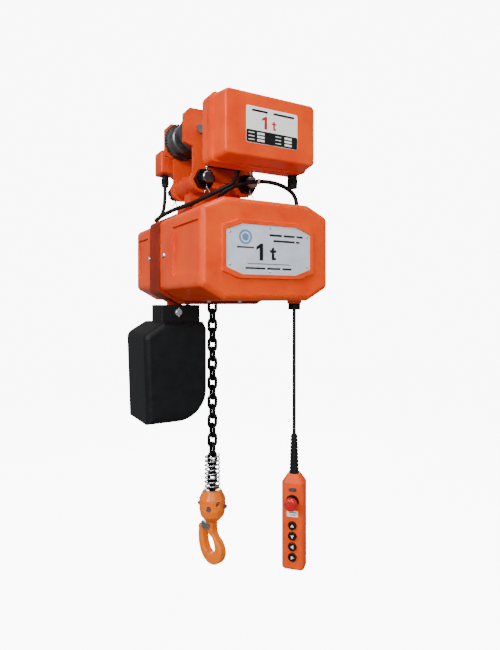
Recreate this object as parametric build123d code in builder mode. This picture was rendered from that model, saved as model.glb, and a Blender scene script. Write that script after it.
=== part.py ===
"""Electric chain hoist with a motor-driven beam trolley, modelled piece by piece.

Millimetres, +Z up.  The origin is the running centre on top of the beam's lower
flange, +X runs along the beam and -Y is the side of the control box.
The load chain hangs on the Z axis.
"""
from math import cos, pi, radians, sin, tan
import os

from build123d import *

os.makedirs("parts", exist_ok=True)

# ------------------------------------------------------------- driving sizes
# beam that the trolley runs on, and the fits common to the whole machine
flange_half = 37.0
flange_to_wheel_rim = 1.5
running_gap = 0.05
loose_gap = 0.4

# trolley side plates
plate_inner = 50.0
plate_thick = 9.0
plate_half = 91.0
plate_top = 71.0
plate_neck_half = 70.0
lobe_radius = 25.0
plate_outer = plate_inner + plate_thick

# suspension shafts, nuts and spacers
shaft_x = 50.0
shaft_z = -73.0
shaft_radius = 12.0
shaft_front = -91.0
shaft_rear = 102.0
spacer_radius = 20.0
rear_spacer = 16.0
nut_across = 36.0
nut_height = 24.0
pin_radius = 1.8

# wheels and the trolley's gears
wheel_radius = 31.0
wheel_tread_inner = 14.0
rim_radius = wheel_radius + 5.0
axle_radius = 9.0
bearing_radius = 17.0
bearing_inner = 22.0
bearing_width = 20.0
wheel_teeth = 38
pinion_teeth = 17
trolley_module = 2 * (rim_radius + 2.0) / wheel_teeth
wheel_x = trolley_module * (wheel_teeth + pinion_teeth) / 2
rim_inner = flange_half + flange_to_wheel_rim
rim_outer = plate_inner - 2.5

# trolley drive on the rear plate
gearcase_radius = 62.0
gearcase_depth = 34.0
motor_radius = 50.0
motor_length = 106.0
motor_z = wheel_radius

# control box in front of the trolley
box_half = 92.5
box_lip_half = 102.0
box_top = 40.0
box_bottom = -72.0
box_lip_step = 5.0
box_front = -250.0
box_joint = -200.0
box_back = -172.0
box_wall = 3.0
box_groove = 2.0

# hoist casing
case_half = 133.0
case_top = -142.0
case_bottom = -322.0
case_slope_x = 45.0
case_slope_top = 21.0
case_slope_bottom = 25.0
case_corner = 12.0
case_wall = 4.0
panel_recess = 4.5
case_front = -240.0
frame_front = -38.0
frame_rear = 22.0
frame_drop = 7.0
frame_bottom = case_bottom - frame_drop
frame_proud = 2.0
frame_middle = (frame_front + frame_rear) / 2
rear_end = 135.0
rear_inset = 3.0
case_mid = (case_top + case_bottom) / 2
boss_bottom = case_bottom - 5
case_screw_x = 36.0

# nameplate
plate_width = 175.0
plate_height = 88.0
plate_sheet = 1.2
plate_slope_x = 32.0
plate_slope_z = 12.0
pad_rim = 8.0
pad_rise = 4.0
pad_sink = 2.6

# chain, load sheave and gear train
wire = 7.1
link_pitch = 21.0
link_width = 24.0
sheave_pockets = 5
sheave_groove = 19.0
sheave_half = 12.5
chain_slot = 14.5
first_module = 1.25
first_pinion_teeth = 14
first_gear_teeth = 56
second_module = 1.75
second_pinion_teeth = 15
second_gear_teeth = 35
gear_face = 10.0
rotor_shaft = 6.0
hub_front = 16.0
hub_rear = 12.0

# hanging gear
hung_links = 25
chain_top = case_mid
last_link_z = chain_top - (hung_links - 0.5) * link_pitch - wire
block_top = last_link_z + 16.6
block_height = 67.0
block_bottom = block_top - block_height
block_radius = 29.0
spring_length = 77.0
spring_top = block_top + spring_length
spring_wire = 3.5
spring_radius = 15.6
hook_length = 95.0
hook_bottom = block_bottom - hook_length
hook_yaw = 105.7
hook_thick = 19.0
hook_bowl = 17.0
shank_radius = 10.0

# chain container
bag_left = -172.0
bag_right = -38.0
bag_front = -60.0
bag_rear = 73.0
bag_neck = case_bottom - 43.0
bag_bottom = bag_neck - 201.0
bag_wall = 3.0
bag_round = 12.0
bag_foot = 14.0
bag_heel = 62.0
neck_reach = 37.0
neck_gap = 10.4
lug_width = 22.0
lug_gap = 4.6
heap_gap = 52.0
lug_z = case_bottom - 23.0
lug_pin = 4.5

# pendant control
pendant_x = 88.0
pendant_y = -190.0
pendant_yaw = -45.0
cable_radius = 3.5
loose_cable_radius = 4.2
sleeve_top = -585.0
pendant_top = -659.0
pendant_bottom = -843.0
pendant_width = 45.0
pendant_depth = 36.0
pendant_wall = 2.5
button_radius = 8.2
button_pitch = 20.3
first_button_z = -755.0
stop_z = -709.0

# loose cables
hoist_gland = (-34.0, -96.0)
slope_gland = (112.0, -166.0)
gland_radius = 8.0

link_turn = 180.0 / sheave_pockets
sheave_pitch_radius = 2 * sheave_pockets * link_pitch / (2 * pi)
sheave_rim = sheave_pitch_radius - 5.4
link_seat_radius = link_pitch / 2 / tan(radians(link_turn / 2))
link_joint_radius = link_pitch / 2 / sin(radians(link_turn / 2))
sheave_x = -sheave_pitch_radius
slack_x = sheave_x - link_joint_radius
axle_z = chain_top
slack_links = int((axle_z - bag_bottom - heap_gap - wire) / link_pitch)
lug_x = slack_x - (link_width + lug_width) / 2 - lug_gap
neck_left = lug_x - neck_reach
neck_right = slack_x + link_width / 2 + neck_gap
lay_x = sheave_x + first_module * (first_pinion_teeth + first_gear_teeth) / 2


# ------------------------------------------------------------------- helpers
def facing_front(y_back, x=0.0, z=0.0):
    """Upright plane whose material grows towards the front from y_back."""
    return Plane(origin=(x, y_back, z), x_dir=(1, 0, 0), z_dir=(0, -1, 0))


def save(builder, name):
    """Label a finished piece and write it as its own file."""
    builder.part.label = name
    export_step(builder.part, f"parts/{name}.step")


def eight_sided(half, top, bottom, slope_x, slope_top, slope_bottom, corner):
    """Closed outline of the casing: a box with its four corners cut off."""
    with BuildSketch(Plane.XY) as outline:
        with BuildLine():
            Polyline(
                (-half, bottom + slope_bottom),
                (-half, top - slope_top),
                (-half + slope_x, top),
                (half - slope_x, top),
                (half, top - slope_top),
                (half, bottom + slope_bottom),
                (half - slope_x, bottom),
                (-half + slope_x, bottom),
                close=True,
            )
        make_face()
        fillet(outline.vertices(), corner)
    return outline.sketch


def case_outline(inset, low=case_bottom):
    """Casing outline drawn in by the given distance; low is its lowest edge."""
    return eight_sided(
        case_half - inset,
        case_top - inset,
        low + inset,
        case_slope_x,
        case_slope_top,
        case_slope_bottom,
        case_corner,
    )


def gear_outline(module, teeth, first_angle, bore):
    """Straight-flanked gear; one tooth is centred on first_angle, in degrees."""
    pitch_radius = module * teeth / 2
    root = pitch_radius - 1.25 * module
    tip = pitch_radius + 0.85 * module
    step = 2 * pi / teeth
    corners = []
    for tooth in range(teeth):
        centre = radians(first_angle) + tooth * step
        for radius, share in ((root, -0.34), (tip, -0.11), (tip, 0.11), (root, 0.34)):
            angle = centre + share * step
            corners.append((radius * cos(angle), radius * sin(angle)))
    with BuildSketch(Plane.XY) as gear:
        with BuildLine():
            Polyline(*corners, close=True)
        make_face()
        if bore:
            Circle(bore, mode=Mode.SUBTRACT)
    return gear.sketch


def rod(y_back, length, radius, x, z, bore=0.0):
    """Round bar, or tube, along Y inside the current part."""
    with BuildSketch(facing_front(y_back)) as section:
        with Locations((x, z)):
            Circle(radius)
            if bore:
                Circle(bore, mode=Mode.SUBTRACT)
    extrude(section.sketch, amount=length)


def cord_path(points):
    """Runs joined by arcs as large as their runs allow; also prints the radii."""
    radii = []
    for before, here, after in zip(points, points[1:], points[2:]):
        run_in = Vector(*here) - Vector(*before)
        run_out = Vector(*after) - Vector(*here)
        turn = radians(run_in.get_angle(run_out))
        radii.append(0.45 * min(run_in.length, run_out.length) / tan(turn / 2))
    print("cord radii", [round(radius, 1) for radius in radii])
    return FilletPolyline(*points, radius=radii)


# ------------------------------------------------------- trolley side plates
def side_plate_outline():
    """Side plate seen along the beam: wide head, neck and two shaft lobes."""
    with BuildSketch(Plane.XY) as outline:
        with BuildLine():
            Polyline(
                (-plate_half, 0),
                (-plate_half, plate_top - 13),
                (-plate_half + 13, plate_top),
                (plate_half - 13, plate_top),
                (plate_half, plate_top - 13),
                (plate_half, 0),
                (plate_neck_half, -6),
                (plate_neck_half, shaft_z),
                (-plate_neck_half, shaft_z),
                (-plate_neck_half, -6),
                close=True,
            )
        make_face()
        fillet(outline.vertices(), 3)
        with Locations((-shaft_x, shaft_z), (shaft_x, shaft_z)):
            Circle(lobe_radius)
        with Locations((-shaft_x, shaft_z), (shaft_x, shaft_z)):
            Circle(shaft_radius + running_gap, mode=Mode.SUBTRACT)
        with Locations((-wheel_x, wheel_radius), (wheel_x, wheel_radius)):
            Circle(axle_radius + running_gap, mode=Mode.SUBTRACT)
    return outline.sketch


plate_outline = side_plate_outline()

with BuildPart() as front_side_plate:
    with BuildSketch(facing_front(-plate_inner)):
        add(plate_outline)
    extrude(amount=plate_thick)
save(front_side_plate, "front_side_plate")

with BuildPart() as rear_side_plate:
    with BuildSketch(facing_front(plate_outer)):
        add(plate_outline)
        with Locations((0, motor_z)):
            Circle(trolley_module * pinion_teeth / 2 + 4, mode=Mode.SUBTRACT)
    extrude(amount=plate_thick)
save(rear_side_plate, "rear_side_plate")

# ------------------------------------- suspension shafts, spacers, nuts, pins
front_nut_back = -plate_outer
rear_nut_front = plate_outer + rear_spacer
front_pin_y = front_nut_back - nut_height + 4
rear_pin_y = rear_nut_front + nut_height - 4
shaft_places = ((-shaft_x, shaft_z), (shaft_x, shaft_z))

with BuildPart() as suspension_shafts:
    for x, z in shaft_places:
        rod(shaft_rear, shaft_rear - shaft_front, shaft_radius, x, z)
    chamfer(suspension_shafts.edges().filter_by(GeomType.CIRCLE), 1.5)
    for x, z in shaft_places:
        for pin_y in (front_pin_y, rear_pin_y):
            with Locations((x, pin_y, z)):
                Cylinder(pin_radius, 3 * shaft_radius, mode=Mode.SUBTRACT)
save(suspension_shafts, "suspension_shafts")

hanger_half = 16.0
shaft_bore = shaft_radius + running_gap

with BuildPart() as spacer_collars:
    for x, z in shaft_places:
        rod(plate_inner, plate_inner - hanger_half, spacer_radius, x, z, shaft_bore)
        rod(-hanger_half, plate_inner - hanger_half, spacer_radius, x, z, shaft_bore)
        rod(rear_nut_front, rear_spacer, spacer_radius, x, z, shaft_bore)
    chamfer(
        spacer_collars.edges()
        .filter_by(GeomType.CIRCLE)
        .filter_by(lambda edge: edge.radius > shaft_bore + 1),
        1.5,
    )
save(spacer_collars, "spacer_collars")


def castle_nut(y_back, pin_side):
    """Hexagon nut with a slotted crown on its outer side (pin_side -1 or 1)."""
    crown = 8.0
    body_back = y_back if pin_side < 0 else y_back - crown
    with BuildPart() as nut:
        with BuildSketch(facing_front(body_back)):
            RegularPolygon(nut_across / 2, 6, major_radius=False)
            Circle(shaft_bore, mode=Mode.SUBTRACT)
        extrude(amount=nut_height - crown)
        crown_back = y_back - nut_height + crown if pin_side < 0 else y_back
        with BuildSketch(facing_front(crown_back)):
            Circle(nut_across / 2 - 1)
            Circle(shaft_bore, mode=Mode.SUBTRACT)
        extrude(amount=crown)
        with Locations((0, crown_back - crown / 2, 0)):
            for turn in range(3):
                Box(
                    2 * pin_radius + 1.2,
                    crown + 1,
                    nut_across,
                    rotation=(0, 60 * turn, 0),
                    mode=Mode.SUBTRACT,
                )
    return nut.part


front_nut = castle_nut(front_nut_back, -1)
rear_nut = castle_nut(rear_nut_front + nut_height, 1)

with BuildPart() as castle_nuts:
    for x, z in shaft_places:
        with Locations((x, 0, z)):
            add(front_nut)
            add(rear_nut)
save(castle_nuts, "castle_nuts")

with BuildPart() as split_pins:
    for x, z in shaft_places:
        for pin_y, out in ((front_pin_y, -1), (rear_pin_y, 1)):
            head_z = z + nut_across / 2 + 3
            with Locations((x, pin_y, z + 1)):
                Cylinder(pin_radius - 0.2, nut_across + 4)
            with Locations((x, pin_y, head_z)):
                Sphere(3.4)
            for lean in (-1, 1):
                leg = Plane(
                    origin=(x, pin_y, z - nut_across / 2 - 0.5),
                    z_dir=(0.55 * lean, 0.35 * out, -1),
                )
                with BuildSketch(leg):
                    Circle(1.1)
                extrude(amount=15)
save(split_pins, "split_pins")

# --------------------------------------------------- wheels, axles, bearings
wheel_places = ((-wheel_x, wheel_radius), (wheel_x, wheel_radius))

with BuildPart() as wheel_axles:
    for x, z in wheel_places:
        rod(plate_outer + 4, plate_outer + 4 - bearing_inner + 3, axle_radius, x, z)
        rod(-bearing_inner + 3, plate_outer + 4 - bearing_inner + 3, axle_radius, x, z)
        rod(bearing_inner - 0.2, 3, axle_radius + 3, x, z)
        rod(-bearing_inner + 3.2, 3, axle_radius + 3, x, z)
save(wheel_axles, "wheel_axles")


def wheel(geared, outward, tooth_angle):
    """Trolley wheel: tread, guiding rim and, when geared, a toothed rim."""
    with BuildPart() as turned:
        with BuildSketch(Plane.YZ):
            with BuildLine():
                Polyline(
                    (outward * wheel_tread_inner, bearing_radius + running_gap),
                    (outward * wheel_tread_inner, wheel_radius - 3),
                    (outward * (wheel_tread_inner + 3), wheel_radius),
                    (outward * rim_inner, wheel_radius),
                    (outward * rim_inner, rim_radius),
                    (outward * rim_outer, rim_radius),
                    (outward * rim_outer, bearing_radius + running_gap),
                    close=True,
                )
            make_face()
        revolve(axis=Axis.Y)
        if geared:
            with BuildSketch(facing_front(outward * rim_outer)):
                add(gear_outline(trolley_module, wheel_teeth, tooth_angle, 28))
            extrude(amount=outward * (rim_outer - rim_inner))
    return turned.part


def place_wheel(shape, x, name):
    """Move a wheel shape onto its axle and write it."""
    with BuildPart() as placed:
        with Locations((x, 0, wheel_radius)):
            add(shape)
    save(placed, name)


half_tooth = 180 / wheel_teeth
plain_wheel = wheel(False, -1, 0)
place_wheel(plain_wheel, -wheel_x, "front_wheel_left")
place_wheel(plain_wheel, wheel_x, "front_wheel_right")
place_wheel(wheel(True, 1, 0), -wheel_x, "geared_wheel_left")
place_wheel(wheel(True, 1, 180 + half_tooth), wheel_x, "geared_wheel_right")

pinion_back = plate_outer + 12
with BuildPart() as drive_pinion:
    with BuildSketch(facing_front(rim_outer)):
        with Locations((0, motor_z)):
            add(gear_outline(trolley_module, pinion_teeth, 0, 0))
    extrude(amount=rim_outer - rim_inner)
    rod(pinion_back, pinion_back - rim_inner, 8, 0, motor_z)
save(drive_pinion, "drive_pinion")

# -------------------------------------------- gear case, motor, terminal box
gearcase_back = plate_outer + gearcase_depth
motor_back = gearcase_back + motor_length

with BuildPart() as trolley_gearcase:
    with BuildSketch(facing_front(gearcase_back)):
        with Locations((0, motor_z)):
            Circle(gearcase_radius)
        with Locations((0, -8)):
            RectangleRounded(2 * gearcase_radius - 26, 80, 14)
    extrude(amount=gearcase_depth)
    fillet(trolley_gearcase.faces().sort_by(Axis.Y)[-1].edges(), 6)
    with Locations((0, plate_outer + 8, motor_z)):
        Cylinder(8 + running_gap, 16, rotation=(90, 0, 0), mode=Mode.SUBTRACT)
    for x, z in wheel_places:
        with Locations((x, plate_outer + 2.2, z)):
            Cylinder(axle_radius + 1, 4.6, rotation=(90, 0, 0), mode=Mode.SUBTRACT)
save(trolley_gearcase, "trolley_gearcase")

with BuildPart() as trolley_motor:
    rod(motor_back, motor_length, motor_radius - 4, 0, motor_z)
    with BuildSketch(facing_front(motor_back - 30)):
        with Locations((0, motor_z)):
            with PolarLocations(motor_radius - 4, 30):
                Rectangle(8, 2.4)
    extrude(amount=motor_length - 44)
    rod(motor_back, 26, motor_radius, 0, motor_z)
    rod(gearcase_back + 10, 10, motor_radius, 0, motor_z)
    fillet(trolley_motor.faces().sort_by(Axis.Y)[-1].edges(), 5)
save(trolley_motor, "trolley_motor")

term_x = -66.0
term_y = 120.0
term_top = 26.0
term_bottom = -28.0
with BuildPart() as motor_terminal_box:
    with Locations((term_x, term_y, (term_top + term_bottom) / 2)):
        Box(36, 46, term_top - term_bottom)
    fillet(motor_terminal_box.edges(), 5)
    with Locations((-41, term_y, 14)):
        Box(30, 24, 22)
    rod(motor_back, motor_length, motor_radius, 0, motor_z)
    with BuildSketch(facing_front(motor_back + 1)):
        with Locations((0, motor_z)):
            Circle(motor_radius + 0.1)
    extrude(amount=motor_length + 2, mode=Mode.SUBTRACT)
save(motor_terminal_box, "motor_terminal_box")

# ---------------------------------------------------------------- control box
box_height = box_top - box_bottom
box_mid = (box_top + box_bottom) / 2
lip_height = box_height + 2 * box_lip_step
gland_x = 85.0
gland_y = -188.0

with BuildPart() as control_box_cover:
    with BuildSketch(facing_front(box_joint)):
        with Locations((0, box_mid)):
            RectangleRounded(2 * box_lip_half - 6, lip_height - 2, 10)
    with BuildSketch(facing_front(box_front)):
        with Locations((0, box_mid)):
            RectangleRounded(2 * box_half, box_height, 9)
    loft()
    with BuildSketch(facing_front(box_joint)):
        with Locations((0, box_mid)):
            RectangleRounded(2 * box_lip_half, lip_height, 11)
    extrude(amount=10)
    fillet(control_box_cover.faces().sort_by(Axis.Y)[0].edges(), 4)
    with BuildSketch(facing_front(box_joint)):
        with Locations((0, box_mid)):
            RectangleRounded(2 * (box_half - box_wall), box_height - 2 * box_wall, 6)
    extrude(amount=box_joint - box_front - box_wall, mode=Mode.SUBTRACT)
save(control_box_cover, "control_box_cover")

with BuildPart() as control_box_base:
    with BuildSketch(facing_front(box_joint + box_groove)):
        with Locations((0, box_mid)):
            RectangleRounded(2 * box_lip_half - 8, lip_height - 8, 9)
    extrude(amount=box_groove)
    with BuildSketch(facing_front(box_back)):
        with Locations((0, box_mid)):
            RectangleRounded(2 * box_lip_half, lip_height, 11)
    extrude(amount=box_back - box_joint - box_groove)
    fillet(control_box_base.faces().sort_by(Axis.Y)[-1].edges(), 5)
    with BuildSketch(facing_front(box_back - box_wall)):
        with Locations((0, box_mid)):
            RectangleRounded(2 * (box_half - box_wall), box_height - 2 * box_wall, 6)
    extrude(amount=box_back - box_wall - box_joint, mode=Mode.SUBTRACT)
save(control_box_base, "control_box_base")

bracket_sheet = 4.0
arm_x = 38.0
arm_low = -52.0
arm_high = 24.0
arm_mid_z = -12.0
arm_height = 64.0
sheet_above_low = 9.0
with BuildPart() as control_box_bracket:
    with Locations((0, -plate_outer - bracket_sheet / 2, 0)):
        Box(2 * arm_x + 12, bracket_sheet, 56)
    with Locations((0, box_back + bracket_sheet / 2, (arm_high + arm_low) / 2)):
        Box(2 * arm_x + 50, bracket_sheet, arm_high - arm_low)
    arm_length = -plate_outer - box_back
    arm_mid_y = (box_back - plate_outer) / 2
    with Locations((-arm_x, arm_mid_y, arm_mid_z), (arm_x, arm_mid_y, arm_mid_z)):
        Box(bracket_sheet, arm_length, arm_height)
    with Locations((0, arm_mid_y, arm_low + sheet_above_low)):
        Box(2 * arm_x, arm_length, bracket_sheet)
save(control_box_bracket, "control_box_bracket")

# ------------------------------------------------------------- hoist casings
frame_outline = case_outline(-frame_proud, frame_bottom + frame_proud)
front_outline = case_outline(0)
rear_outline = case_outline(rear_inset)


def panel_pockets(inset, y_front, y_rear):
    """Shallow panels sunk into the two sides, the top and the bottom."""
    half = case_half - inset
    middle = (y_front + y_rear) / 2
    length = y_rear - y_front
    side_high = case_top - inset - case_slope_top - 20
    side_low = case_bottom + inset + case_slope_bottom + 23
    for side in (-1, 1):
        with Locations((side * half, middle, (side_high + side_low) / 2)):
            Box(2 * panel_recess, length, side_high - side_low, mode=Mode.SUBTRACT)
    flat = 2 * (half - case_slope_x) - 24
    for level in (case_top - inset, case_bottom + inset):
        with Locations((0, middle, level)):
            Box(flat, length, 2 * panel_recess, mode=Mode.SUBTRACT)


def hollow(inset, y_back, depth):
    """Space inside a cover, behind walls that stay whole under the panels."""
    with BuildSketch(facing_front(y_back)) as inside:
        add(case_outline(inset + case_wall + panel_recess))
    extrude(inside.sketch, amount=depth, mode=Mode.SUBTRACT)


def plate_outline_sketch(grow):
    """Eight-sided nameplate outline, grown all round."""
    return eight_sided(
        plate_width / 2 + grow,
        plate_height / 2 + grow,
        -plate_height / 2 - grow,
        plate_slope_x,
        plate_slope_z,
        plate_slope_z,
        3,
    )


with BuildPart() as front_cover:
    with BuildSketch(facing_front(frame_front)):
        add(front_outline)
    extrude(amount=frame_front - case_front)
    fillet(front_cover.faces().sort_by(Axis.Y)[0].edges(), 11)
    panel_pockets(0, case_front + 12, frame_front - 68)
    with BuildSketch(facing_front(case_front, z=case_mid)):
        add(plate_outline_sketch(pad_rim))
    extrude(amount=pad_rise, taper=20)
    with BuildSketch(facing_front(case_front - pad_rise + pad_sink, z=case_mid)):
        add(plate_outline_sketch(loose_gap))
    extrude(amount=pad_sink + 1, mode=Mode.SUBTRACT)
    hollow(0, frame_front, frame_front - case_front - case_wall - 2)
    with Locations((pendant_x, pendant_y, boss_bottom + 9)):
        Cylinder(14, 18)
    with Locations((pendant_x, pendant_y, case_bottom)):
        Cylinder(9, 60, mode=Mode.SUBTRACT)
    with Locations((*slope_gland, case_top - 12)):
        Cylinder(gland_radius, 40, mode=Mode.SUBTRACT)
save(front_cover, "front_cover")

with BuildPart() as rear_cover:
    with BuildSketch(facing_front(rear_end)):
        add(rear_outline)
    extrude(amount=rear_end - frame_rear)
    fillet(rear_cover.faces().sort_by(Axis.Y)[-1].edges(), 11)
    panel_pockets(rear_inset, frame_rear + 30, rear_end - 12)
    hollow(rear_inset, rear_end - case_wall - 2, rear_end - case_wall - 2 - frame_rear)
save(rear_cover, "rear_cover")

plate_back = case_front - pad_rise + pad_sink
with BuildPart() as nameplate:
    with BuildSketch(facing_front(plate_back, z=case_mid)):
        add(plate_outline_sketch(0))
    extrude(amount=plate_sheet)
save(nameplate, "nameplate")

rivet_x = plate_width / 2 - 7
rivet_z = plate_height / 2 - 16
rivet_places = [(x, z) for x in (-rivet_x, rivet_x) for z in (-rivet_z, rivet_z)]
rivet_places += [(0, plate_height / 2 - 5), (0, -plate_height / 2 + 5)]
with BuildPart() as nameplate_rivets:
    for x, z in rivet_places:
        with BuildSketch(facing_front(plate_back - plate_sheet, z=case_mid)):
            with Locations((x, z)):
                Circle(1.9)
        extrude(amount=0.9)
    chamfer(nameplate_rivets.faces().sort_by(Axis.Y).group_by(Axis.Y)[0].edges(), 0.5)
save(nameplate_rivets, "nameplate_rivets")

# ------------------------------------------------------------- hoist frame
with BuildPart() as hoist_frame:
    with BuildSketch(facing_front(frame_rear)):
        add(frame_outline)
    extrude(amount=frame_rear - frame_front)
    with BuildSketch(facing_front(0)):
        with Locations((lug_x, lug_z + 10)):
            RectangleRounded(lug_width, 42, 8)
    extrude(amount=12)
    with Locations((lug_x, 0, lug_z)):
        Cylinder(lug_pin + running_gap, 40, rotation=(90, 0, 0), mode=Mode.SUBTRACT)
    with BuildSketch(facing_front(chain_slot)):
        with Locations((sheave_x, axle_z)):
            Circle(sheave_pitch_radius + link_width / 2 + 4.6)
        with Locations((slack_x / 2, (axle_z + frame_bottom) / 2)):
            Rectangle(-slack_x + 26, axle_z - frame_bottom + 10)
        with Locations((0, axle_z + 42)):
            Rectangle(26, 84)
    extrude(amount=2 * chain_slot, mode=Mode.SUBTRACT)
    with Locations((sheave_x, frame_front, axle_z)):
        Cylinder(31, 2 * (-frame_front - chain_slot) + 2, rotation=(90, 0, 0), mode=Mode.SUBTRACT)
    with Locations((sheave_x, frame_rear, axle_z)):
        Cylinder(20, 20, rotation=(90, 0, 0), mode=Mode.SUBTRACT)
    with Locations((lay_x, frame_front, axle_z)):
        Cylinder(7 + running_gap, 30, rotation=(90, 0, 0), mode=Mode.SUBTRACT)
save(hoist_frame, "hoist_frame")

guide_top = case_bottom + 22.0
with BuildPart() as chain_guide:
    guide_low = frame_bottom + 3
    with Locations((slack_x / 2, 0, (guide_top + guide_low) / 2)):
        Box(-slack_x + 26, 2 * chain_slot, guide_top - guide_low)
    with Locations((0, 0, guide_low), (slack_x, 0, guide_low)):
        Box(wire + 2, link_width + 2, 80, mode=Mode.SUBTRACT)
        Box(link_width + 1.6, wire + 2, 80, mode=Mode.SUBTRACT)
save(chain_guide, "chain_guide")

# ------------------------------------------------------------------- hanger
frame_top = case_top + frame_proud
foot_top = frame_top + 14
with BuildPart() as hanger:
    with BuildSketch(facing_front(hanger_half)):
        with Locations((-shaft_x, shaft_z), (shaft_x, shaft_z)):
            Circle(spacer_radius + 2)
        with Locations((0, shaft_z - 22)):
            Rectangle(2 * shaft_x + 20, 36)
        with Locations((0, (frame_top + shaft_z) / 2 - 6)):
            Rectangle(2 * shaft_x - 4, shaft_z - frame_top - 12)
        with Locations((-shaft_x, shaft_z), (shaft_x, shaft_z)):
            Circle(shaft_bore, mode=Mode.SUBTRACT)
    extrude(amount=2 * hanger_half)
    with Locations((0, frame_middle, (frame_top + foot_top) / 2)):
        Box(150, frame_rear - frame_front - 6, foot_top - frame_top)
save(hanger, "hanger")


def screw_head(plane, radius, height):
    """Round-topped screw head standing on a plane of the current part."""
    with BuildSketch(plane) as section:
        Circle(radius)
    extrude(section.sketch, amount=height, taper=18)


flange_y = -58.0
rear_flange_y = 38.0
with BuildPart() as cover_screws:
    for y, inset in ((flange_y, 0), (rear_flange_y, rear_inset)):
        for side in (-1, 1):
            place = (side * (case_half - inset), y, case_mid)
            screw_head(Plane(origin=place, z_dir=(side, 0, 0)), 5.5, 3)
            for level, up in ((case_top - inset, 1), (case_bottom + inset, -1)):
                spot = (side * case_screw_x, y, level)
                screw_head(Plane(origin=spot, z_dir=(0, 0, up)), 5.5, 3)
save(cover_screws, "cover_screws")

with BuildPart() as frame_bolts:
    for x in (-65, 65):
        for y in (frame_middle - 17, frame_middle + 17):
            with BuildSketch(Plane.XY.offset(foot_top)):
                with Locations((x, y)):
                    RegularPolygon(6.5, 6, major_radius=False)
            extrude(amount=5.3)
save(frame_bolts, "frame_bolts")

# --------------------------------------------------- load sheave and gears
sheave_front_hub = frame_front - 3
output_gear_front = sheave_front_hub - gear_face - 1

with BuildPart() as load_sheave:
    rod(sheave_half, 2 * sheave_half, sheave_rim, sheave_x, axle_z)
    with BuildSketch(facing_front(4.5)):
        with Locations((sheave_x, axle_z)):
            Circle(sheave_rim + 1)
            Circle(sheave_groove, mode=Mode.SUBTRACT)
    extrude(amount=9, mode=Mode.SUBTRACT)
    with BuildSketch(facing_front(sheave_half + 1)):
        with Locations((sheave_x, axle_z)):
            with PolarLocations(sheave_rim, sheave_pockets, start_angle=90):
                Rectangle(6, 30)
    extrude(amount=2 * sheave_half + 2, mode=Mode.SUBTRACT)
    rod(-sheave_half, -sheave_half - sheave_front_hub, hub_front, sheave_x, axle_z)
    rod(sheave_front_hub, gear_face + 3, hub_rear, sheave_x, axle_z)
    rod(frame_rear, frame_rear - sheave_half, hub_rear, sheave_x, axle_z)
    with Locations((sheave_x, 0, axle_z)):
        Cylinder(rotor_shaft + 1.2, 200, rotation=(90, 0, 0), mode=Mode.SUBTRACT)
save(load_sheave, "load_sheave")

with BuildPart() as output_gear:
    with BuildSketch(facing_front(output_gear_front + gear_face, sheave_x, axle_z)):
        first_gap = 180 / second_gear_teeth
        add(gear_outline(second_module, second_gear_teeth, first_gap, hub_rear + running_gap))
    extrude(amount=gear_face)
save(output_gear, "output_gear")

first_gear_back = output_gear_front - 3
with BuildPart() as intermediate_gear:
    with BuildSketch(facing_front(first_gear_back, lay_x, axle_z)):
        add(gear_outline(first_module, first_gear_teeth, 180, 0))
    extrude(amount=gear_face)
    with BuildSketch(facing_front(output_gear_front + gear_face, lay_x, axle_z)):
        add(gear_outline(second_module, second_pinion_teeth, 180, 0))
    extrude(amount=gear_face + 3)
    rod(frame_front + 14, frame_front + 14 - output_gear_front, 7, lay_x, axle_z)
save(intermediate_gear, "intermediate_gear")

stator_rear = frame_rear + 70
with BuildPart() as motor_rotor:
    shaft_length = stator_rear + 30 - first_gear_back + gear_face + 2
    rod(stator_rear + 30, shaft_length, rotor_shaft, sheave_x, axle_z)
    rod(stator_rear - 6, 50, 30, sheave_x, axle_z)
    with BuildSketch(facing_front(first_gear_back, sheave_x, axle_z)):
        add(gear_outline(first_module, first_pinion_teeth, 180 / first_pinion_teeth, 0))
    extrude(amount=gear_face)
    rod(stator_rear + 12, 6, 40, sheave_x, axle_z)
    rod(stator_rear + 6, 4, 14, sheave_x, axle_z)
save(motor_rotor, "motor_rotor")

with BuildPart() as motor_stator:
    rod(stator_rear, stator_rear - frame_rear, 62, sheave_x, axle_z, 54)
    rod(stator_rear - 6, 50, 54, sheave_x, axle_z, 30.6)
    rod(frame_rear + 10, 8, 54, sheave_x, axle_z, 13)
save(motor_stator, "motor_stator")

with BuildPart() as brake_coil:
    rod(stator_rear + 18, 18, 58, sheave_x, axle_z, 42)
    rod(stator_rear + 28, 10, 58, sheave_x, axle_z, 12)
save(brake_coil, "brake_coil")

with BuildPart() as ball_bearings:
    for x, z in wheel_places:
        for back in (rim_outer - 3, -rim_outer + 3 + bearing_width):
            rod(back, bearing_width, bearing_radius, x, z, axle_radius + running_gap)
    rod(-chain_slot, -chain_slot - frame_front, 31, sheave_x, axle_z, hub_front + running_gap)
    rod(frame_rear, frame_rear - chain_slot, 20, sheave_x, axle_z, hub_rear + running_gap)
    rod(frame_rear + 10, 8, 13, sheave_x, axle_z, rotor_shaft + running_gap)
    rod(stator_rear + 28, 8, 12, sheave_x, axle_z, rotor_shaft + running_gap)
save(ball_bearings, "ball_bearings")

# --------------------------------------------------------- electrical gear
panel_back = -96.0
with BuildPart() as contactors:
    with Locations((0, panel_back - 1.5, case_mid)):
        Box(230, 3, 120)
    for x in (-105, 105):
        for z in (case_mid - 50, case_mid + 50):
            rod(frame_front, frame_front - panel_back, 5, x, z)
    with Locations((-62, panel_back - 28, case_mid), (2, panel_back - 28, case_mid)):
        Box(52, 50, 80)
    relay_y = box_back - box_wall - 12
    with Locations((-40, relay_y, box_mid), (40, relay_y, box_mid)):
        Box(48, 24, 76)
save(contactors, "contactors")

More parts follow.
